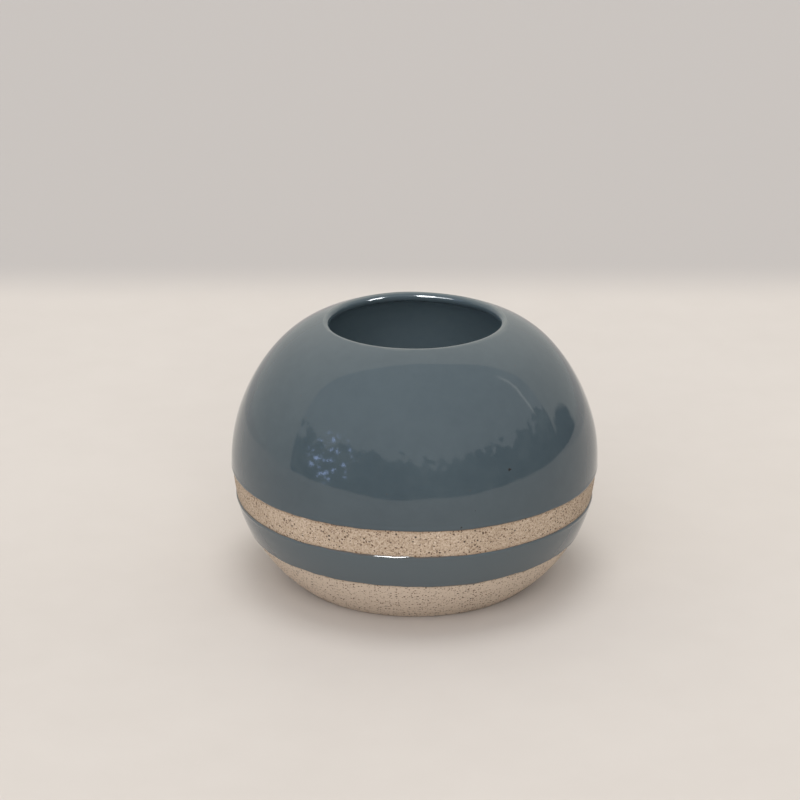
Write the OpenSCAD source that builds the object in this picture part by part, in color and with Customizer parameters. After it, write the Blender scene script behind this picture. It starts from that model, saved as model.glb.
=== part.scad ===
// Round stoneware bud vase: a bare clay pot with a clay foot, a thick glossy glaze over
// the shoulder and down the inside, and one glazed stripe below a bare clay band.
// Millimetres, +Z up, origin at the centre of the foot, on the table.

/* [Overall] */
// Widest diameter, over the glaze
vase_d = 110; // [80:1:160]
// Height to the top of the lip, over the glaze
vase_h = 79.8; // [60:0.1:120]
// Height of the widest point above the table
belly_z = 36.4; // [26:0.1:50]

/* [Mouth] */
// Clear diameter of the mouth at its narrowest, inside the glaze
mouth_d = 50.8; // [30:0.1:64]
// Thickness of the rounded lip, over the glaze
lip_t = 2.8; // [2.2:0.1:5]
// Slope of the wall where it meets the lip, in degrees above level
lip_slope = 16.5; // [5:0.5:45]
// How the shoulder turns in: 1 turns evenly, less turns late and tightly near the mouth
shoulder_turn = 0.45; // [0.3:0.05:1.2]

/* [Clay wall] */
// Thickness of the clay at the widest point
wall_t = 4.5; // [3:0.1:7]
// Thickness of the clay floor
floor_t = 6; // [4:0.1:10]
// Inside radius between the floor and the wall
floor_fillet_r = 12; // [4:0.5:18]

/* [Foot] */
// Diameter of the bare clay where its curve would reach the table
foot_d = 72.6; // [50:0.1:80]
// Rounding of the foot's outer edge
foot_edge_r = 0.8; // [0.4:0.1:2]
// Width of the ring that the vase stands on
foot_ring_w = 6; // [3:0.5:12]
// Depth of the shallow hollow inside the foot ring
foot_recess = 1.2; // [0.6:0.1:2.5]

/* [Glaze] */
// Thickness of every glaze coat
glaze_t = 0.4; // [0.2:0.05:0.6]
// Height of the bare clay above the table, below the glazed stripe
bare_foot_h = 15.6; // [8:0.1:20]
// Height of the glazed stripe
stripe_h = 10.9; // [5:0.1:14]
// Height of the bare clay band above the stripe
bare_band_h = 8.2; // [4:0.1:12]

/* [Hidden] */
$fn = 180;

// Largest turn between two points of a curve, in degrees
turn_step = 3;

clay_color = "#b5a795";
glaze_color = "#5b6a71";
liner_color = "#4b5a61";

// Heights of the glaze edges
stripe_z = bare_foot_h;
band_z = stripe_z + stripe_h;
coat_z = band_z + bare_band_h;

// Sizes of the bare clay, under the glaze
belly_r = vase_d / 2 - glaze_t;
lip_r = lip_t / 2 - glaze_t;
lip_center = [mouth_d / 2 + lip_t / 2, vase_h - lip_t / 2];
lip_angle = 90 - lip_slope;
lip_normal = [cos(lip_angle), sin(lip_angle)];

// An arc is [center, radius, start angle, end angle], and the angles run upwards
function point_at(arc, angle, grow) = arc[0] + (arc[1] + grow) * [cos(angle), sin(angle)];

// Points along a chain of arcs that meet smoothly, with every arc grown by the same amount
function curve(arcs, grow = 0) =
    let (last = arcs[len(arcs) - 1])
    [
        for (arc = arcs)
            let (turn = arc[3] - arc[2], steps = ceil(turn / turn_step))
            for (i = [0 : steps - 1])
                point_at(arc, arc[2] + turn * i / steps, grow),
        point_at(last, last[3], grow)
    ];

// A curve's points from its end to its start, less a few at its end
function back_along(points, skip = 0) =
    [for (i = [len(points) - 1 - skip : -1 : 0]) points[i]];

// Two arcs that meet smoothly, from a point where the wall stands upright to a point
// where it has the lip's slope. The shoulder turn shares the bend between them.
function wall_arcs(low, high) =
    let (
        up = [0, 1],
        inward = [-lip_normal[1], lip_normal[0]],
        chord = high - low,
        spread = 2 * shoulder_turn * (1 - up * inward),
        along = chord * (up + shoulder_turn * inward),
        low_reach = (sqrt(along * along + spread * (chord * chord)) - along) / spread,
        high_reach = shoulder_turn * low_reach,
        low_tip = low + low_reach * up,
        high_tip = high - high_reach * inward,
        joint = (high_reach * low_tip + low_reach * high_tip) / (low_reach + high_reach),
        low_step = joint - low,
        high_step = joint - high,
        belly = (low_step * low_step) / (-2 * low_step[0]),
        shoulder = (high_step * high_step) / (-2 * (high_step * lip_normal)),
        belly_center = low - [belly, 0],
        joint_angle = atan2(joint[1] - belly_center[1], joint[0] - belly_center[0])
    )
    [
        [belly_center, belly, 0, joint_angle],
        [high - shoulder * lip_normal, shoulder, joint_angle, lip_angle]
    ];

// The arc below the widest point, and the small arc that rounds it into a level floor
function base_arcs(center, radius, fillet_r, floor_z) =
    let (
        drop = center[1] - floor_z - fillet_r,
        run = sqrt(pow(radius - fillet_r, 2) - drop * drop),
        fillet_angle = -atan2(drop, run)
    )
    [
        [center + [run, -drop], fillet_r, -90, fillet_angle],
        [center, radius, fillet_angle, 0]
    ];

// The lower arc passes through the foot's edge and stands upright at the belly
foot_r = foot_d / 2;
base_center_r =
    (belly_r * belly_r - foot_r * foot_r - belly_z * belly_z) / (2 * (belly_r - foot_r));
base_center = [base_center_r, belly_z];
base_r = belly_r - base_center_r;

outside_arcs = concat(
    base_arcs(base_center, base_r, foot_edge_r, 0),
    wall_arcs([belly_r, belly_z], lip_center + lip_r * lip_normal)
);
inside_arcs = concat(
    base_arcs(base_center, base_r - wall_t, floor_fillet_r, floor_t),
    wall_arcs([belly_r - wall_t, belly_z], lip_center - lip_r * lip_normal)
);
lip_arc = [lip_center, lip_r, lip_angle, lip_angle + 180];

// The rounded edge of the shallow hollow under the foot
recess_r = outside_arcs[0][0][0] - foot_ring_w;
recess_arc = [[recess_r - foot_recess, 0], foot_recess, 0, 90];

// The coat on the outside, between two heights
module outer_glaze(from_z, to_z) {
    intersection() {
        polygon(concat(curve(outside_arcs), back_along(curve(outside_arcs, glaze_t))));
        translate([0, from_z]) square([vase_d, to_z - from_z]);
    }
}

module clay_body() {
    color(clay_color)
    rotate_extrude()
    polygon(concat(
        [[0, foot_recess]],
        back_along(curve([recess_arc])),
        curve(concat(outside_arcs, [lip_arc])),
        back_along(curve(inside_arcs), 1),
        [[0, floor_t]]
    ));
}

module shoulder_glaze() {
    color(glaze_color) rotate_extrude() outer_glaze(coat_z, vase_h);
}

// The coat on the hollow's floor and wall, carried over the lip to meet the shoulder's coat
module liner_glaze() {
    color(liner_color)
    rotate_extrude()
    polygon(concat(
        [[0, floor_t]],
        curve(inside_arcs),
        back_along(curve([lip_arc]), 1),
        curve([lip_arc], glaze_t),
        back_along(curve(inside_arcs, -glaze_t), 1),
        [[0, floor_t + glaze_t]]
    ));
}

module stripe_glaze() {
    color(glaze_color) rotate_extrude() outer_glaze(stripe_z, band_z);
}

clay_body();
shoulder_glaze();
liner_glaze();
stripe_glaze();
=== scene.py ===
import math

import bpy
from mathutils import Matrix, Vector


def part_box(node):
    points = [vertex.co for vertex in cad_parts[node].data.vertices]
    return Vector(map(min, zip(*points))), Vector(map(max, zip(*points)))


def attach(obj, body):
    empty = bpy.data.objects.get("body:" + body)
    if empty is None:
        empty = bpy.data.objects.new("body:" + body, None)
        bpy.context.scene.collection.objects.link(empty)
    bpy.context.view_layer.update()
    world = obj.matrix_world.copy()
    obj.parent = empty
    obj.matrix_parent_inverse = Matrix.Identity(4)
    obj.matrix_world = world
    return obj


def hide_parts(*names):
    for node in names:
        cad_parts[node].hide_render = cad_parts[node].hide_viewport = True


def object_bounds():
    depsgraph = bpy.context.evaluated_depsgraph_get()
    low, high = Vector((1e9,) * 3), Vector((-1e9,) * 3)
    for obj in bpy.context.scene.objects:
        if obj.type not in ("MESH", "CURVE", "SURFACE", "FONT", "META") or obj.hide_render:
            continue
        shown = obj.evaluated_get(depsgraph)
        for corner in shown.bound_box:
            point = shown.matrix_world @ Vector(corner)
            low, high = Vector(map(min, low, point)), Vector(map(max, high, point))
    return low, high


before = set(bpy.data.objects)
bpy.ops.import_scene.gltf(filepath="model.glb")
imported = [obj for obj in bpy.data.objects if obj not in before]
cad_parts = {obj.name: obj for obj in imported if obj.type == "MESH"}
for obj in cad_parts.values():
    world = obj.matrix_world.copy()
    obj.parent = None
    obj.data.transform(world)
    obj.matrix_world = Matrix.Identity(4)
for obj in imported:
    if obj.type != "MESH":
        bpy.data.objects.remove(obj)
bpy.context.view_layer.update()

# The looks of a round stoneware bud vase: a bare, speckled pot with a thick glossy glaze over
# its shoulder and down its inside, and one glazed stripe. It stands in a painted surround.

MM = 0.001

# Sizes of the pot that its nodes' boxes don't give
BELLY_HEIGHT = 36.4 * MM
MOUTH_RADIUS = 25.4 * MM
LIP_THICKNESS = 2.8 * MM
LIP_SLOPE = math.radians(16.5)
SHOULDER_TURN = 0.45
WALL = 4.5 * MM
FLOOR = 6 * MM
FLOOR_FILLET = 12 * MM
FOOT_RADIUS = 36.3 * MM
FOOT_EDGE = 0.8 * MM
FOOT_RING = 6 * MM
FOOT_RECESS = 1.2 * MM

# Sizes that the boxes give
POT_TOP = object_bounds()[1][2]
POT_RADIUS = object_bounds()[1][0]
CLAY_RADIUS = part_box("clay_body")[1][0]
GLAZE = POT_RADIUS - CLAY_RADIUS
COAT_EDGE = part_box("shoulder_glaze")[0][2]
STRIPE_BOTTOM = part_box("stripe_glaze")[0][2]
STRIPE_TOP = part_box("stripe_glaze")[1][2]

# How finely the pieces are thrown
SEGMENTS = 256
PULL = 1.2 * MM
FINE_PULL = 0.3 * MM
LIP_PULL = 0.2 * MM
BEAD_PULL = 0.15 * MM
EDGE_PULL = 0.1 * MM
SEAM_PULL = 0.08 * MM
EDGE_TURN = math.radians(10)
CENTER_RADIUS = 0.8 * MM
WELD = 0.002 * MM
SMOOTH_ANGLE = math.radians(40)

# Distances from the seam where the liner meets the shoulder's coat at the lip, close
# together near it so that both sides shade alike
SEAM_GAPS = [0.4 * MM, 0.2 * MM, 0.1 * MM, 0.05 * MM, 0.02 * MM, 0]

# The shallow rings that the turning tool left: how deep they are, and how far each wave runs
# in one radian. The fine turning goes on a little way under the shoulder's coat.
TURNING_DEPTH = 0.014 * MM
TURNING_WAVE = 0.42 * MM
FINE_TURNING_WAVE = 0.23 * MM
FINE_TURNING_SHARE = 0.6
TURNING_OVERRUN = 1 * MM
RECESS_RING_DEPTH = 0.05 * MM
RECESS_RING_WAVE = 1.1 * MM

# The rings that the fingers left on the thrown floor, and how far out they fade
FLOOR_RING_DEPTH = 0.18 * MM
FLOOR_RING_WAVE = 1.3 * MM
FLOOR_RING_FADE = 9 * MM

# The shape of a coat's rounded edge, and how far its back sinks into the clay
EDGE_ROUND = 0.5 * MM
BEAD_RISE = 0.2
BEAD_PLACE = 0.75 * MM
BEAD_WIDTH = 0.5 * MM
BEAD_END = 2.4 * MM
SINK = 0.12 * MM

# How far hands and brush pushed the pot and its glaze edges out of true
HAND_STRENGTH = 0.5 * MM
HAND_SIZE = 32 * MM
STILL_HEIGHT = 1 * MM
STILL_FADE = 14 * MM
BRUSH_STRENGTH = 0.5 * MM
BRUSH_SIZE = 5 * MM
BRUSH_REACH = 1.2 * MM


# ---------------------------------------------------------------------------
# The pot's profile, as arcs of (center, radius, start angle, end angle)
# ---------------------------------------------------------------------------

def direction(angle):
    """The unit step at an angle."""
    return Vector((math.cos(angle), math.sin(angle)))


LIP_ANGLE = math.pi / 2 - LIP_SLOPE
LIP_NORMAL = direction(LIP_ANGLE)
LIP_RADIUS = LIP_THICKNESS / 2 - GLAZE
LIP_CENTER = Vector((MOUTH_RADIUS + LIP_THICKNESS / 2, POT_TOP - LIP_THICKNESS / 2))


def wall_arcs(low, high):
    """Two arcs that meet smoothly, from an upright wall to the slope of the lip."""
    up = Vector((0, 1))
    inward = Vector((-LIP_NORMAL.y, LIP_NORMAL.x))
    chord = high - low
    spread = 2 * SHOULDER_TURN * (1 - up.dot(inward))
    reach = chord.dot(up + SHOULDER_TURN * inward)
    low_reach = (math.sqrt(reach ** 2 + spread * chord.dot(chord)) - reach) / spread
    high_reach = SHOULDER_TURN * low_reach
    low_tip = low + low_reach * up
    high_tip = high - high_reach * inward
    joint = (high_reach * low_tip + low_reach * high_tip) / (low_reach + high_reach)
    low_step = joint - low
    high_step = joint - high
    belly = low_step.dot(low_step) / (-2 * low_step.x)
    shoulder = high_step.dot(high_step) / (-2 * high_step.dot(LIP_NORMAL))
    belly_center = low - Vector((belly, 0))
    joint_angle = math.atan2(joint.y - belly_center.y, joint.x - belly_center.x)
    return [
        (belly_center, belly, 0, joint_angle),
        (high - shoulder * LIP_NORMAL, shoulder, joint_angle, LIP_ANGLE),
    ]


def base_arcs(center, radius, fillet, floor):
    """The arc below the widest point, and the small one that rounds it into a level floor."""
    drop = center.y - floor - fillet
    run = math.sqrt((radius - fillet) ** 2 - drop ** 2)
    meeting = -math.atan2(drop, run)
    return [
        (center + Vector((run, -drop)), fillet, -math.pi / 2, meeting),
        (center, radius, meeting, 0),
    ]


def pot_arcs():
    """The clay's outside, its inside and its lip."""
    base_x = CLAY_RADIUS ** 2 - FOOT_RADIUS ** 2 - BELLY_HEIGHT ** 2
    base_x /= 2 * (CLAY_RADIUS - FOOT_RADIUS)
    base = Vector((base_x, BELLY_HEIGHT))
    base_radius = CLAY_RADIUS - base_x
    outside = base_arcs(base, base_radius, FOOT_EDGE, 0)
    outside += wall_arcs(Vector((CLAY_RADIUS, BELLY_HEIGHT)), LIP_CENTER + LIP_RADIUS * LIP_NORMAL)
    inside = base_arcs(base, base_radius - WALL, FLOOR_FILLET, FLOOR)
    inside += wall_arcs(
        Vector((CLAY_RADIUS - WALL, BELLY_HEIGHT)), LIP_CENTER - LIP_RADIUS * LIP_NORMAL
    )
    lip = [(LIP_CENTER, LIP_RADIUS, LIP_ANGLE, LIP_ANGLE + math.pi)]
    return outside, inside, lip


def length_of(arcs):
    """The length of a chain of arcs."""
    return sum(radius * (end - start) for _, radius, start, end in arcs)


def station(arcs, distance):
    """The point and the normal at a distance along a chain of arcs."""
    for arc in arcs:
        center, radius, start, end = arc
        length = radius * (end - start)
        if distance <= length or arc is arcs[-1]:
            break
        distance -= length
    normal = direction(min(start + max(distance, 0) / radius, end))
    return center + radius * normal, normal


def distance_at(arcs, height):
    """The distance along an outside chain at which it reaches a height."""
    walked = 0
    for center, radius, start, end in arcs:
        if center.y + radius * math.sin(end) >= height:
            angle = math.asin((height - center.y) / radius)
            return walked + radius * (angle - start)
        walked += radius * (end - start)
    return walked


def steps(start, end, spacing):
    """Even steps from start to end, without the end."""
    count = max(1, math.ceil(abs(end - start) / spacing))
    return [start + (end - start) * i / count for i in range(count)]


# ---------------------------------------------------------------------------
# Throwing: a ring of clay is pulled up through an outline, one pull at a time
# ---------------------------------------------------------------------------

def start_on_wheel(name, radius, height, solid_center):
    """The first ring, filled when the piece closes at its middle."""
    bpy.ops.object.select_all(action="DESELECT")
    bpy.ops.mesh.primitive_circle_add(
        vertices=SEGMENTS,
        radius=radius,
        fill_type="TRIFAN" if solid_center else "NOTHING",
        location=(0, 0, height),
    )
    bpy.ops.object.transform_apply(location=True, rotation=True, scale=True)
    piece = bpy.context.object
    piece.name = name
    piece.data.name = name
    if solid_center:
        for vertex in piece.data.vertices:
            vertex.select = vertex.co.xy.length > radius / 2
    return piece


def pull(radius, height, next_radius, next_height):
    """Extrude the selected ring to its next height and radius."""
    bpy.ops.mesh.extrude_region_move(
        TRANSFORM_OT_translate={"value": (0, 0, next_height - height)}
    )
    bpy.ops.transform.resize(value=(next_radius / radius, next_radius / radius, 1))


def throw(name, outline, solid_center):
    """Pull a ring through an outline of (radius, height), and close it on itself or at its middle."""
    radius, height = outline[0]
    piece = start_on_wheel(name, radius, height, solid_center)
    bpy.ops.object.mode_set(mode="EDIT")
    bpy.ops.mesh.select_mode(type="EDGE")
    bpy.ops.mesh.select_all(action="DESELECT")
    bpy.ops.mesh.select_non_manifold()
    for next_radius, next_height in outline[1:]:
        pull(radius, height, next_radius, next_height)
        radius, height = next_radius, next_height
    if solid_center:
        bpy.ops.mesh.extrude_region_move(TRANSFORM_OT_translate={"value": (0, 0, 0)})
        bpy.ops.mesh.merge(type="CENTER")
    else:
        pull(radius, height, *outline[0])
    bpy.ops.mesh.select_all(action="SELECT")
    bpy.ops.mesh.remove_doubles(threshold=WELD)
    bpy.ops.mesh.normals_make_consistent(inside=False)
    bpy.ops.object.mode_set(mode="OBJECT")
    return piece


def weigh(piece, name, weight_at):
    """A vertex group whose weight depends on the height."""
    group = piece.vertex_groups.new(name=name)
    for vertex in piece.data.vertices:
        weight = weight_at(vertex.co.z)
        if weight > 0:
            group.add([vertex.index], weight, "REPLACE")
    return group


def waver(piece, name, texture, axes, strength, weight_at):
    """Push a piece out of true by a cloud of soft noise, then apply it."""
    group = weigh(piece, name, weight_at)
    modifier = piece.modifiers.new(name, "DISPLACE")
    modifier.texture = texture
    modifier.texture_coords = "LOCAL"
    modifier.direction = axes
    modifier.strength = strength
    modifier.mid_level = 0.5
    modifier.vertex_group = group.name
    bpy.context.view_layer.objects.active = piece
    bpy.ops.object.modifier_apply(modifier=name)
    piece.vertex_groups.remove(piece.vertex_groups[name])


def cloud(name, size, colored):
    """A soft noise for the wavers, with blobs of about this size."""
    texture = bpy.data.textures.new(name, "CLOUDS")
    texture.noise_scale = size
    texture.noise_depth = 1
    texture.cloud_type = "COLOR" if colored else "GRAYSCALE"
    return texture


def above_foot(height):
    """Nothing moves on the table, and all of it does a finger's breadth above."""
    return min(max((height - STILL_HEIGHT) / STILL_FADE, 0), 1)


def near_edges(*edges):
    """A weight that is 1 at the height of any of these edges."""
    def weight(height):
        nearest = min(abs(height - edge) for edge in edges)
        return max(0, 1 - nearest / BRUSH_REACH)
    return weight


def finish_piece(piece, material, node):
    """Waver, shade and hand over a thrown piece in place of its CAD node."""
    waver(piece, "hand_waver", HAND_WAVER, "RGB_TO_XYZ", HAND_STRENGTH, above_foot)
    bpy.ops.object.select_all(action="DESELECT")
    piece.select_set(True)
    bpy.context.view_layer.objects.active = piece
    bpy.ops.object.shade_smooth_by_angle(angle=SMOOTH_ANGLE)
    piece.data.materials.append(material)
    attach(piece, "root")
    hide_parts(node)
    return piece


# ---------------------------------------------------------------------------
# Pieces
# ---------------------------------------------------------------------------

OUTSIDE, INSIDE, LIP = pot_arcs()


def turning_ripple(height):
    """The shallow rings that the turning tool left on the bare clay."""
    broad = math.sin(height / TURNING_WAVE)
    fine = math.sin(height / FINE_TURNING_WAVE + 1)
    return TURNING_DEPTH * (broad + FINE_TURNING_SHARE * fine)


def throw_clay_pot(material):
    """The whole clay body, from the middle of its underside, round the lip, to its inner floor."""
    foot_start = OUTSIDE[0][0].x
    recess_edge = foot_start - FOOT_RING
    outline = []
    for radius in steps(CENTER_RADIUS, recess_edge - FOOT_RECESS, PULL):
        ring = RECESS_RING_DEPTH * math.sin(radius / RECESS_RING_WAVE)
        outline.append((radius, FOOT_RECESS + ring))
    for angle in steps(math.pi / 2, 0, EDGE_TURN):
        point = Vector((recess_edge - FOOT_RECESS, 0)) + FOOT_RECESS * direction(angle)
        outline.append(tuple(point))
    for radius in steps(recess_edge, foot_start, PULL):
        outline.append((radius, 0))
    bare_end = distance_at(OUTSIDE, COAT_EDGE + TURNING_OVERRUN)
    foot_round = length_of(OUTSIDE[:1])
    for distance in steps(0, foot_round, EDGE_PULL):
        point, _ = station(OUTSIDE, distance)
        outline.append(tuple(point))
    for distance in steps(foot_round, bare_end, FINE_PULL):
        point, normal = station(OUTSIDE, distance)
        outline.append(tuple(point + turning_ripple(point.y) * normal))
    for distance in steps(bare_end, length_of(OUTSIDE), PULL):
        outline.append(tuple(station(OUTSIDE, distance)[0]))
    for distance in steps(0, length_of(LIP), LIP_PULL):
        outline.append(tuple(station(LIP, distance)[0]))
    for distance in steps(length_of(INSIDE), 0, PULL):
        outline.append(tuple(station(INSIDE, distance)[0]))
    for radius in steps(INSIDE[0][0].x, CENTER_RADIUS, PULL):
        outline.append((radius, FLOOR))
    pot = throw("clay_pot", outline, solid_center=True)
    return finish_piece(pot, material, "clay_body")


def coat_thickness(from_edge):
    """Glaze draws up into a round bead along its edge."""
    share = min(from_edge / EDGE_ROUND, 1)
    rounding = math.sqrt(1 - (1 - share) ** 2)
    bead = 1 + BEAD_RISE * math.exp(-(((from_edge - BEAD_PLACE) / BEAD_WIDTH) ** 2))
    return GLAZE * rounding * bead


def edge_steps():
    """Distances from a coat's edge, close together where it is round."""
    quarter = [EDGE_ROUND * (1 - math.cos(math.radians(a))) for a in range(0, 91, 10)]
    return quarter + steps(EDGE_ROUND + BEAD_PULL, BEAD_END, BEAD_PULL)


def seam_steps(length):
    """Distances up to the lip's seam."""
    return [length - gap for gap in SEAM_GAPS]


def throw_coat(name, bottom, top, edges, material, node):
    """A coat on the outside between two heights, beaded at the edges that are free."""
    start = distance_at(OUTSIDE, bottom)
    span = distance_at(OUTSIDE, top) - start
    free_top = len(edges) == 2
    tail = [span - d for d in reversed(edge_steps())] if free_top else seam_steps(span)
    distances = edge_steps() + steps(BEAD_END, tail[0], PULL) + tail
    outline = []
    for distance in distances:
        point, normal = station(OUTSIDE, start + distance)
        from_edge = min(distance, span - distance) if free_top else distance
        outline.append(tuple(point + coat_thickness(from_edge) * normal))
    for distance in reversed(distances):
        point, normal = station(OUTSIDE, start + distance)
        outline.append(tuple(point - SINK * normal))
    coat = throw(name, outline, solid_center=False)
    waver(coat, "edge_waver", EDGE_WAVER, "Z", BRUSH_STRENGTH, near_edges(*edges))
    return finish_piece(coat, material, node)


def throw_liner(material):
    """The coat inside, from the middle of the floor up the wall and over the lip."""
    floor_top = FLOOR + GLAZE
    level_end = INSIDE[0][0].x
    outline = []
    for radius in steps(CENTER_RADIUS, level_end, PULL):
        fade = math.exp(-radius / FLOOR_RING_FADE)
        ring = FLOOR_RING_DEPTH * math.cos(radius / FLOOR_RING_WAVE) * fade
        outline.append((radius, floor_top + ring))
    for distance in steps(0, length_of(INSIDE), PULL):
        point, normal = station(INSIDE, distance)
        outline.append(tuple(point - GLAZE * normal))
    over_lip = length_of(LIP)
    for distance in steps(over_lip, SEAM_GAPS[0], SEAM_PULL) + SEAM_GAPS[1:]:
        point, normal = station(LIP, distance)
        outline.append(tuple(point + GLAZE * normal))
    for distance in steps(0, over_lip, LIP_PULL):
        point, normal = station(LIP, distance)
        outline.append(tuple(point - SINK * normal))
    for distance in steps(length_of(INSIDE), 0, PULL):
        point, normal = station(INSIDE, distance)
        outline.append(tuple(point + SINK * normal))
    for radius in steps(level_end, CENTER_RADIUS, PULL):
        outline.append((radius, FLOOR - SINK))
    liner = throw("liner_coat", outline, solid_center=True)
    return finish_piece(liner, material, "liner_glaze")


# ---------------------------------------------------------------------------
# Shader building
# ---------------------------------------------------------------------------

def add(tree, kind, inputs=None, **settings):
    """A node with its settings, and each input set to a value or linked to a socket."""
    node = tree.nodes.new(kind)
    for name, value in settings.items():
        setattr(node, name, value)
    for name, value in (inputs or {}).items():
        if isinstance(value, bpy.types.NodeSocket):
            tree.links.new(value, node.inputs[name])
        else:
            node.inputs[name].default_value = value
    return node


def sum_of(tree, operation, *values):
    """The result of one sum on values or sockets."""
    node = add(tree, "ShaderNodeMath", dict(enumerate(values)), operation=operation)
    return node.outputs[0]


def ramp(tree, value, low, high, to_low=0.0, to_high=1.0):
    """A value carried smoothly from one range to another."""
    inputs = {"Value": value, "From Min": low, "From Max": high}
    inputs.update({"To Min": to_low, "To Max": to_high})
    node = add(tree, "ShaderNodeMapRange", inputs, interpolation_type="SMOOTHSTEP")
    return node.outputs["Result"]


def blend(tree, share, first, second, mode="MIX"):
    """Two colours mixed."""
    node = add(tree, "ShaderNodeMix", data_type="RGBA", blend_type=mode)
    for index, value in ((0, share), (6, first), (7, second)):
        if isinstance(value, bpy.types.NodeSocket):
            tree.links.new(value, node.inputs[index])
        else:
            node.inputs[index].default_value = value
    return node.outputs[2]


def noise(tree, position, scale, detail=2.0, roughness=0.5):
    """Soft noise, as many blobs to the metre as its scale."""
    inputs = {"Vector": position, "Scale": scale, "Detail": detail, "Roughness": roughness}
    return add(tree, "ShaderNodeTexNoise", inputs).outputs["Fac"]


def new_group(name, inputs, outputs):
    """An empty node group with its sockets, and its input and output nodes."""
    tree = bpy.data.node_groups.new(name, "ShaderNodeTree")
    for socket, kind in inputs.items():
        tree.interface.new_socket(socket, in_out="INPUT", socket_type=kind)
    for socket, kind in outputs.items():
        tree.interface.new_socket(socket, in_out="OUTPUT", socket_type=kind)
    return tree, tree.nodes.new("NodeGroupInput").outputs, tree.nodes.new("NodeGroupOutput").inputs


def place_group(tree, group, **inputs):
    """A node group with each input set to a value or linked to a socket."""
    node = tree.nodes.new("ShaderNodeGroup")
    node.node_tree = group
    for name, value in inputs.items():
        if isinstance(value, bpy.types.NodeSocket):
            tree.links.new(value, node.inputs[name])
        else:
            node.inputs[name].default_value = value
    return node.outputs


def specks_group():
    """Iron specks: round grains of mixed size, some places left without one."""
    tree, given, result = new_group(
        "iron_specks",
        {
            "Position": "NodeSocketVector",
            "Per_metre": "NodeSocketFloat",
            "Largest": "NodeSocketFloat",
            "Share": "NodeSocketFloat",
        },
        {"Mask": "NodeSocketFloat", "Tone": "NodeSocketFloat"},
    )
    wobble_scale = sum_of(tree, "MULTIPLY", given["Per_metre"], 2.3)
    wobble = add(tree, "ShaderNodeTexNoise", {"Vector": given["Position"], "Scale": wobble_scale})
    centered = add(
        tree, "ShaderNodeVectorMath",
        {0: wobble.outputs["Color"], 1: (0.5, 0.5, 0.5)}, operation="SUBTRACT",
    )
    amount = sum_of(tree, "DIVIDE", 0.45, given["Per_metre"])
    pushed = add(
        tree, "ShaderNodeVectorMath", {0: centered.outputs[0], "Scale": amount}, operation="SCALE"
    )
    moved = add(
        tree, "ShaderNodeVectorMath", {0: given["Position"], 1: pushed.outputs[0]}, operation="ADD"
    )
    cells = add(
        tree, "ShaderNodeTexVoronoi", {"Vector": moved.outputs[0], "Scale": given["Per_metre"]}
    )
    chance = add(tree, "ShaderNodeSeparateColor", {0: cells.outputs["Color"]}).outputs
    size = sum_of(tree, "MULTIPLY", given["Largest"], sum_of(tree, "POWER", chance[0], 1.6))
    inner = sum_of(tree, "MULTIPLY", size, 0.6)
    round_spot = ramp(tree, cells.outputs["Distance"], inner, size, to_low=1.0, to_high=0.0)
    kept = sum_of(tree, "LESS_THAN", chance[1], given["Share"])
    tree.links.new(sum_of(tree, "MULTIPLY", round_spot, kept), result["Mask"])
    tree.links.new(chance[2], result["Tone"])
    return tree


def edge_group():
    """How near a place is to the height of a glaze edge: 1 on it, 0 a reach away."""
    tree, given, result = new_group(
        "near_edge",
        {"Position": "NodeSocketVector", "Height": "NodeSocketFloat", "Reach": "NodeSocketFloat"},
        {"Mask": "NodeSocketFloat"},
    )
    height = add(tree, "ShaderNodeSeparateXYZ", {0: given["Position"]}).outputs["Z"]
    swing = sum_of(tree, "MINIMUM", sum_of(tree, "MULTIPLY", given["Reach"], 0.35), 0.3 * MM)
    uneven = ramp(tree, noise(tree, given["Position"], scale=260.0), 0.2, 0.8, to_low=-1.0)
    uneven = sum_of(tree, "MULTIPLY", uneven, swing)
    away = sum_of(tree, "ABSOLUTE", sum_of(tree, "SUBTRACT", height, given["Height"]))
    away = sum_of(tree, "ADD", away, uneven)
    near = ramp(tree, away, 0.0, given["Reach"], to_low=1.0, to_high=0.0)
    tree.links.new(near, result["Mask"])
    return tree


def drift_group():
    """Slow drift of tone over a fired surface, with a finer mottle in it."""
    tree, given, result = new_group(
        "kiln_drift",
        {"Position": "NodeSocketVector", "Per_metre": "NodeSocketFloat"},
        {"Value": "NodeSocketFloat"},
    )
    broad = noise(
        tree, given["Position"], scale=given["Per_metre"], detail=3.0, roughness=0.55
    )
    fine_scale = sum_of(tree, "MULTIPLY", given["Per_metre"], 9.0)
    fine = noise(tree, given["Position"], scale=fine_scale, detail=2.0, roughness=0.6)
    both = sum_of(tree, "MULTIPLY_ADD", broad, 0.65, sum_of(tree, "MULTIPLY", fine, 0.35))
    tree.links.new(ramp(tree, both, 0.3, 0.7), result["Value"])
    return tree


def new_material(name):
    """A material with one Principled shader, and the place on the object that it colours."""
    material = bpy.data.materials.new(name)
    material.use_nodes = True
    tree = material.node_tree
    tree.nodes.clear()
    output = tree.nodes.new("ShaderNodeOutputMaterial")
    shader = tree.nodes.new("ShaderNodeBsdfPrincipled")
    tree.links.new(shader.outputs["BSDF"], output.inputs["Surface"])
    position = tree.nodes.new("ShaderNodeTexCoord").outputs["Object"]
    return material, tree, shader, position


def color(red, green, blue):
    """A linear colour, opaque."""
    return (red, green, blue, 1.0)


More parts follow.
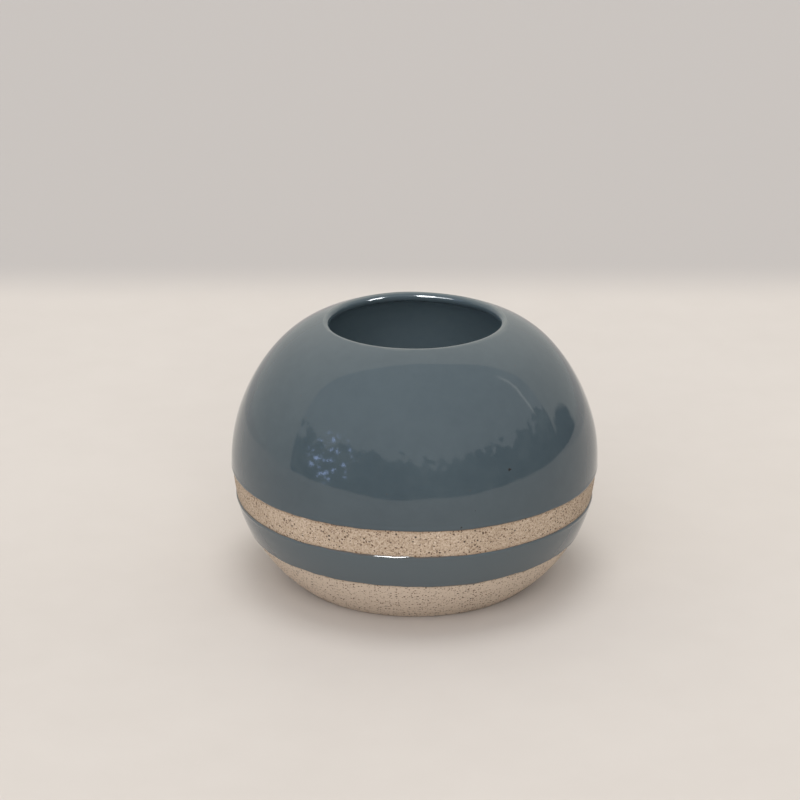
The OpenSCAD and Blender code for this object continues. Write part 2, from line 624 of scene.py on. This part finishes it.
def bare_clay_material():
    """Buff stoneware, coarse and dark-specked on the band, finer on the turned foot."""
    material, tree, shader, position = new_material("bare_stoneware")
    drift = place_group(tree, DRIFT, Position=position, Per_metre=45.0)["Value"]
    clay = blend(tree, drift, CLAY_DARK, CLAY_LIGHT)
    grain = noise(tree, position, scale=1900.0, detail=2.0, roughness=0.7)
    clay = blend(tree, ramp(tree, grain, 0.35, 0.65), clay, CLAY_GRAIN, "MULTIPLY")

    height = add(tree, "ShaderNodeSeparateXYZ", {0: position}).outputs["Z"]
    on_band = ramp(tree, height, STRIPE_BOTTOM, STRIPE_TOP)
    foot_share = ramp(tree, on_band, 0.0, 1.0, to_low=0.8, to_high=0.0)
    clay = blend(tree, foot_share, clay, CLAY_FOOT)
    coarse_share = ramp(tree, on_band, 0.0, 1.0, to_low=0.85)
    coarse = place_group(
        tree, SPECKS, Position=position, Per_metre=1300.0, Largest=0.53, Share=coarse_share
    )
    fine = place_group(tree, SPECKS, Position=position, Per_metre=1900.0, Largest=0.62, Share=0.9)
    pale = place_group(tree, SPECKS, Position=position, Per_metre=900.0, Largest=0.34, Share=0.16)
    clay = blend(tree, sum_of(tree, "MULTIPLY", pale["Mask"], 0.6), clay, CLAY_PALE_SPECK)
    speck = blend(tree, coarse["Tone"], SPECK_BLACK, SPECK_BROWN)
    clay = blend(tree, sum_of(tree, "MULTIPLY", fine["Mask"], 0.7), clay, SPECK_BROWN)
    clay = blend(tree, sum_of(tree, "MULTIPLY", coarse["Mask"], 0.9), clay, speck)
    for edge in (COAT_EDGE, STRIPE_TOP, STRIPE_BOTTOM):
        near = place_group(tree, EDGE, Position=position, Height=edge, Reach=0.9 * MM)["Mask"]
        clay = blend(tree, sum_of(tree, "MULTIPLY", near, 0.3), clay, CLAY_TOASTED)
    tree.links.new(clay, shader.inputs["Base Color"])

    dry = ramp(tree, grain, 0.3, 0.7, to_low=0.78, to_high=0.95)
    tree.links.new(dry, shader.inputs["Roughness"])
    squash = add(tree, "ShaderNodeMapping", {"Vector": position, "Scale": (0.12, 0.12, 1.0)})
    streaks = noise(tree, squash.outputs[0], scale=2600.0, detail=2.0, roughness=0.6)
    surface = sum_of(tree, "ADD", grain, sum_of(tree, "MULTIPLY", streaks, 0.5))
    surface = sum_of(tree, "SUBTRACT", surface, sum_of(tree, "MULTIPLY", coarse["Mask"], 0.6))
    bump = add(
        tree, "ShaderNodeBump", {"Height": surface, "Strength": 0.5, "Distance": 0.12 * MM}
    )
    tree.links.new(bump.outputs["Normal"], shader.inputs["Normal"])
    shader.inputs["Specular IOR Level"].default_value = 0.3
    return material


def glaze_material(name, deep, light, edges, stripe_painted_light_share):
    """Glossy slate-blue glaze, thin and brown at its edges, with a few pinholes, and painted light on
    the stripe.
    """
    material, tree, shader, position = new_material(name)
    drift = place_group(tree, DRIFT, Position=position, Per_metre=28.0)["Value"]
    glaze = blend(tree, drift, deep, light)
    level = add(tree, "ShaderNodeSeparateXYZ", {0: position}).outputs["Z"]
    # Painted light: the stripe's glaze is mixed towards a lighter colour, standing in for the light
    # from below that the downward-facing stripe lacks
    painted_light_on_stripe = ramp(
        tree, level, STRIPE_TOP + 1 * MM, COAT_EDGE - 1 * MM, to_low=stripe_painted_light_share, to_high=0.0
    )
    glaze = blend(tree, painted_light_on_stripe, glaze, GLAZE_STRIPE_PAINTED_LIGHT)
    for height, reach, tint, amount in edges:
        near = place_group(tree, EDGE, Position=position, Height=height, Reach=reach)["Mask"]
        glaze = blend(tree, sum_of(tree, "MULTIPLY", near, amount), glaze, tint)
    pinhole = place_group(
        tree, SPECKS, Position=position, Per_metre=150.0, Largest=0.075, Share=0.3
    )["Mask"]
    freckle = place_group(
        tree, SPECKS, Position=position, Per_metre=520.0, Largest=0.16, Share=0.12
    )["Mask"]
    glaze = blend(tree, sum_of(tree, "MULTIPLY", freckle, 0.25), glaze, SPECK_BROWN)
    glaze = blend(tree, sum_of(tree, "MULTIPLY", pinhole, 0.85), glaze, SPECK_BLACK)
    tree.links.new(glaze, shader.inputs["Base Color"])

    smears = noise(tree, position, scale=60.0, detail=3.0, roughness=0.6)
    gloss = ramp(tree, smears, 0.3, 0.7, to_low=0.045, to_high=0.085)
    tree.links.new(gloss, shader.inputs["Roughness"])
    slow = noise(tree, position, scale=90.0, detail=1.0, roughness=0.4)
    quick = noise(tree, position, scale=420.0, detail=1.0, roughness=0.5)
    surface = sum_of(tree, "ADD", slow, sum_of(tree, "MULTIPLY", quick, 0.12))
    surface = sum_of(tree, "SUBTRACT", surface, sum_of(tree, "MULTIPLY", pinhole, 0.8))
    bump = add(
        tree, "ShaderNodeBump", {"Height": surface, "Strength": 0.35, "Distance": 0.2 * MM}
    )
    tree.links.new(bump.outputs["Normal"], shader.inputs["Normal"])
    shader.inputs["IOR"].default_value = 1.52
    return material


def floor_material():
    """Plain pale board, slightly warm."""
    material, tree, shader, position = new_material("pale_floor")
    drift = place_group(tree, DRIFT, Position=position, Per_metre=6.0)["Value"]
    board = blend(tree, drift, FLOOR_SHADE, FLOOR_PALE)
    back = add(tree, "ShaderNodeSeparateXYZ", {0: position}).outputs["Y"]
    board = blend(tree, ramp(tree, back, BACK_STARTS, BACK_FULL), board, FLOOR_BACK)
    tree.links.new(board, shader.inputs["Base Color"])
    shader.inputs["Roughness"].default_value = 0.7
    return material


# ---------------------------------------------------------------------------
# The studio
# ---------------------------------------------------------------------------

def lay_floor(material):
    """A plain level board, mostly behind the vase."""
    bpy.ops.object.select_all(action="DESELECT")
    bpy.ops.mesh.primitive_plane_add(size=1, location=(0, 0, 0))
    floor = bpy.context.object
    floor.name = "floor"
    bpy.ops.object.mode_set(mode="EDIT")
    bpy.ops.mesh.select_all(action="SELECT")
    bpy.ops.transform.resize(value=(FLOOR_WIDTH, FLOOR_DEPTH, 1))
    bpy.ops.transform.translate(value=(0, FLOOR_MIDDLE, 0))
    bpy.ops.object.mode_set(mode="OBJECT")
    floor.data.materials.append(material)


def facing(tree, toward, place, outer, inner):
    """1 where a direction points at a place in the surround, 0 away from it."""
    to = add(
        tree, "ShaderNodeVectorMath",
        {0: toward, 1: Vector(place).normalized()}, operation="DOT_PRODUCT",
    )
    rough = noise(tree, toward, scale=9.0, detail=3.0, roughness=0.6)
    uneven = sum_of(tree, "MULTIPLY_ADD", rough, RAGGEDNESS, to.outputs["Value"])
    return ramp(tree, sum_of(tree, "SUBTRACT", uneven, RAGGEDNESS / 2), outer, inner)


def hang_surround():
    """A white wall behind the vase, a grey sky and a low dark hedge in front, and more floor."""
    world = bpy.data.worlds.new("surround")
    bpy.context.scene.world = world
    world.use_nodes = True
    tree = world.node_tree
    tree.nodes.clear()
    output = tree.nodes.new("ShaderNodeOutputWorld")
    toward = tree.nodes.new("ShaderNodeTexCoord").outputs["Generated"]
    axes = add(tree, "ShaderNodeSeparateXYZ", {0: toward}).outputs
    tilt = sum_of(tree, "MULTIPLY_ADD", axes["X"], WALL_TURN, axes["Y"])
    tilt = sum_of(tree, "MULTIPLY_ADD", axes["Z"], WALL_LEAN, tilt)
    behind = ramp(tree, tilt, WALL_STARTS, WALL_FULL)
    ragged = noise(tree, toward, scale=7.0, detail=5.0, roughness=0.62)
    hedge_top = ramp(tree, ragged, 0.3, 0.7, to_low=HEDGE_LOWEST, to_high=HEDGE_HIGHEST)
    above_hedge = sum_of(tree, "SUBTRACT", axes["Z"], hedge_top)
    hedge = ramp(tree, above_hedge, -0.01, 0.015, to_low=1.0, to_high=0.0)
    clumps = ramp(tree, noise(tree, toward, scale=5.0, detail=4.0, roughness=0.6), 0.45, 0.7)
    leaves = blend(tree, clumps, HEDGE_DARK, HEDGE_LIT)
    front = blend(tree, hedge, SKY_GREY, leaves)
    glints = noise(tree, toward, scale=17.0, detail=3.0, roughness=0.6)
    leftmost = facing(tree, toward, GLINTS_TOWARD, outer=0.955, inner=0.985)
    glint = sum_of(tree, "MULTIPLY", ramp(tree, glints, 0.56, 0.66), leftmost)
    front = blend(tree, glint, front, GLINT_BLUE)
    off_streak = sum_of(tree, "MULTIPLY_ADD", axes["X"], STREAK_TURN, axes["Y"])
    off_streak = sum_of(tree, "MULTIPLY_ADD", axes["Z"], STREAK_LEAN, off_streak)
    off_streak = sum_of(tree, "ABSOLUTE", off_streak)
    thin = ramp(tree, off_streak, STREAK_CORE, STREAK_REACH, to_low=1.0, to_high=0.0)
    right_front = facing(tree, toward, STREAK_TOWARD, outer=0.955, inner=0.99)
    front = blend(tree, sum_of(tree, "MULTIPLY", thin, right_front), front, STREAK_WHITE)
    wall = blend(tree, ramp(tree, axes["Z"], 0.0, 1.0), WALL_LOW, WALL_WHITE)
    surround = blend(tree, behind, front, wall)
    shrub = facing(tree, toward, SHRUB_TOWARD, outer=0.965, inner=0.98)
    surround = blend(tree, shrub, surround, HEDGE_DARK)
    past_floor = ramp(tree, axes["Z"], FLOOR_LOST, FLOOR_ENDS, to_low=1.0, to_high=0.0)
    surround = blend(tree, past_floor, surround, FLOOR_AFAR)
    background = add(tree, "ShaderNodeBackground", {"Color": surround, "Strength": 1.0})
    tree.links.new(background.outputs[0], output.inputs["Surface"])


def hang_soft_light(name, toward, strength, softness, tint):
    """A broad light from far off that fills the room and shows in no reflection."""
    data = bpy.data.lights.new(name, "SUN")
    data.energy = strength
    data.angle = math.radians(softness)
    data.color = tint
    light = bpy.data.objects.new(name, data)
    light.rotation_euler = Vector(toward).to_track_quat("Z", "Y").to_euler()
    light.visible_glossy = False
    bpy.context.scene.collection.objects.link(light)


def hang_glint(name, coat, place, aim, across, tall, spread, brightness):
    """A bright window that shows in the gloss of one coat only, as a glint along its edge."""
    data = bpy.data.lights.new(name, "AREA")
    data.shape = "RECTANGLE"
    data.size = across
    data.size_y = tall
    data.spread = math.radians(spread)
    data.energy = brightness * math.pi * across * tall
    data.color = WINDOW_TINT
    light = bpy.data.objects.new(name, data)
    light.location = Vector(place)
    light.rotation_euler = (Vector(place) - Vector(aim)).to_track_quat("Z", "Y").to_euler()
    light.visible_diffuse = False
    light.visible_camera = False
    bpy.context.scene.collection.objects.link(light)
    lit = bpy.data.collections.new(name)
    lit.objects.link(coat)
    light.light_linking.receiver_collection = lit


def set_camera():
    """A long lens a little above the vase, looking down at it."""
    data = bpy.data.cameras.new("camera")
    data.sensor_width = 36
    data.lens = CAMERA_LENS
    camera = bpy.data.objects.new("camera", data)
    camera.location = CAMERA_PLACE
    camera.rotation_euler = (math.pi / 2 - CAMERA_DIP, 0, 0)
    bpy.context.scene.collection.objects.link(camera)
    bpy.context.scene.camera = camera


# ---------------------------------------------------------------------------
# Colours
# ---------------------------------------------------------------------------

CLAY_LIGHT = color(0.59, 0.475, 0.37)
CLAY_DARK = color(0.505, 0.40, 0.305)
CLAY_GRAIN = color(0.72, 0.68, 0.63)
CLAY_FOOT = color(0.60, 0.50, 0.405)
CLAY_PALE_SPECK = color(0.80, 0.70, 0.58)
CLAY_TOASTED = color(0.22, 0.13, 0.075)
SPECK_BLACK = color(0.018, 0.014, 0.012)
SPECK_BROWN = color(0.11, 0.055, 0.028)
GLAZE_DEEP = color(0.053, 0.073, 0.086)
GLAZE_LIGHT = color(0.062, 0.084, 0.097)
# Painted light: a lighter glaze for the stripe, standing in for light from below
GLAZE_STRIPE_PAINTED_LIGHT = color(0.081, 0.102, 0.114)
GLAZE_LIP = color(0.068, 0.092, 0.106)
# A pale line along the lip: partly glaze running thin over the rim, partly a painted highlight
GLAZE_THIN_AND_PAINTED_HIGHLIGHT = color(0.15, 0.165, 0.16)
GLAZE_BROWN = color(0.11, 0.075, 0.05)
# Painted light: the liner's inside colours are far lighter than the glaze, standing in for light that
# falls in through the mouth
LINER_PAINTED_LIGHT_DEEP = color(0.19, 0.25, 0.29)
LINER_PAINTED_LIGHT_PALE = color(0.215, 0.28, 0.315)
FLOOR_PALE = color(0.567, 0.523, 0.490)
FLOOR_BACK = color(0.42, 0.392, 0.38)
FLOOR_AFAR = color(0.76, 0.706, 0.652)
FLOOR_SHADE = color(0.545, 0.501, 0.468)
WALL_WHITE = color(1.17, 1.14, 1.06)
WALL_LOW = color(0.67, 0.66, 0.62)
SKY_GREY = color(0.69, 0.71, 0.725)
STREAK_WHITE = color(1.9, 1.9, 1.8)
HEDGE_DARK = color(0.05, 0.06, 0.08)
HEDGE_LIT = color(0.24, 0.25, 0.25)
GLINT_BLUE = color(3.0, 4.0, 7.0)
WINDOW_TINT = (0.95, 0.97, 1.0)

# The floor, in metres, and how far behind the vase its back part's tone starts and is full
FLOOR_WIDTH = 3.0
FLOOR_DEPTH = 2.6
FLOOR_MIDDLE = 0.4
BACK_STARTS = 0.26
BACK_FULL = 0.32

# The surround as it is seen from the vase. Heights are sines of the angle above level, and
# the wall's edge and the streak turn and lean a little from straight up.
WALL_TURN = -0.17
WALL_LEAN = -0.22
WALL_STARTS = 0.015
WALL_FULL = 0.035
HEDGE_LOWEST = 0.27
HEDGE_HIGHEST = 0.46
SHRUB_TOWARD = (0.92, 0.39, -0.02)
GLINTS_TOWARD = (-0.80, -0.55, 0.25)
STREAK_TOWARD = (0.79, 0.10, 0.61)
STREAK_TURN = -0.02
STREAK_LEAN = -0.18
STREAK_CORE = 0.004
STREAK_REACH = 0.018
FLOOR_LOST = -0.052
FLOOR_ENDS = -0.044
RAGGEDNESS = 0.03

# The camera
CAMERA_LENS = 117
CAMERA_PLACE = (-4.4 * MM, -731.2 * MM, 321.3 * MM)
CAMERA_DIP = math.radians(20.05)

# The windows over the mouth that make the glints on the far lip
LIP_WINDOW_BACK = 8 * MM
LIP_WINDOW_RISE = 7 * MM
LIP_WINDOW_TALL = 9 * MM
LIP_WINDOW_SPREAD = 50
GLINT_SHIFT = -1.4

# How far aside each of them hangs, how wide it is and how bright
LIP_GLINTS = [
    (10.2 * MM, 2.2 * MM, 4.0),
    (6.7 * MM, 1.6 * MM, 4.5),
    (-1.4 * MM, 2.8 * MM, 6.0),
    (-5.2 * MM, 5.0 * MM, 1.4),
]

# ---------------------------------------------------------------------------
# Making it
# ---------------------------------------------------------------------------

HAND_WAVER = cloud("hand_waver", HAND_SIZE, colored=True)
EDGE_WAVER = cloud("edge_waver", BRUSH_SIZE, colored=False)
SPECKS = specks_group()
EDGE = edge_group()
DRIFT = drift_group()

outer_glaze = glaze_material(
    "slate_glaze",
    GLAZE_DEEP,
    GLAZE_LIGHT,
    [
        # The pale line on the lip is partly thin glaze and partly a painted highlight
        (POT_TOP, 0.35 * MM, GLAZE_THIN_AND_PAINTED_HIGHLIGHT, 0.3),
        (COAT_EDGE, 0.45 * MM, GLAZE_BROWN, 0.55),
        (STRIPE_TOP, 0.4 * MM, GLAZE_BROWN, 0.55),
        (STRIPE_BOTTOM, 0.45 * MM, GLAZE_BROWN, 0.55),
    ],
    stripe_painted_light_share=0.9,
)
# Painted light: the liner is coloured much lighter than the outer glaze, standing in for light
# falling in through the mouth, and turns back towards the outer glaze's tone within 8 mm of the top
liner_glaze = glaze_material(
    "slate_liner_glaze_painted_light", LINER_PAINTED_LIGHT_DEEP, LINER_PAINTED_LIGHT_PALE,
    # The pale line on the lip is partly thin glaze and partly a painted highlight
    [(POT_TOP, 8 * MM, GLAZE_LIP, 1.0), (POT_TOP, 0.35 * MM, GLAZE_THIN_AND_PAINTED_HIGHLIGHT, 0.5)],
    stripe_painted_light_share=0.0,
)

throw_clay_pot(bare_clay_material())
throw_coat(
    "shoulder_coat", COAT_EDGE, POT_TOP, [COAT_EDGE], outer_glaze, "shoulder_glaze"
)
stripe = throw_coat(
    "stripe_coat", STRIPE_BOTTOM, STRIPE_TOP, [STRIPE_BOTTOM, STRIPE_TOP],
    outer_glaze, "stripe_glaze",
)
liner = throw_liner(liner_glaze)

lay_floor(floor_material())
hang_surround()
hang_soft_light(
    "overhead", toward=(0.0, 0.0, 1.0), strength=1.0, softness=26, tint=(1.0, 0.98, 0.95)
)
hang_soft_light(
    "from_the_front", toward=(-0.1, -1.0, 0.55), strength=1.8, softness=60, tint=(1.0, 0.99, 0.97)
)
for number, (side, across, brightness) in enumerate(LIP_GLINTS, start=1):
    shift = GLINT_SHIFT * side
    hang_glint(
        f"lip_glint_{number}", liner,
        place=(side, LIP_WINDOW_BACK, POT_TOP + LIP_WINDOW_RISE),
        aim=(shift, math.sqrt(MOUTH_RADIUS ** 2 - shift ** 2), POT_TOP),
        across=across, tall=LIP_WINDOW_TALL, spread=LIP_WINDOW_SPREAD, brightness=brightness,
    )
hang_glint(
    "stripe_glint", stripe, place=(-0.23, -0.66, 0.74), aim=(0, 0, 0.02),
    across=0.24, tall=0.9, spread=180, brightness=45,
)
set_camera()
bpy.context.scene.view_settings.view_transform = "Standard"
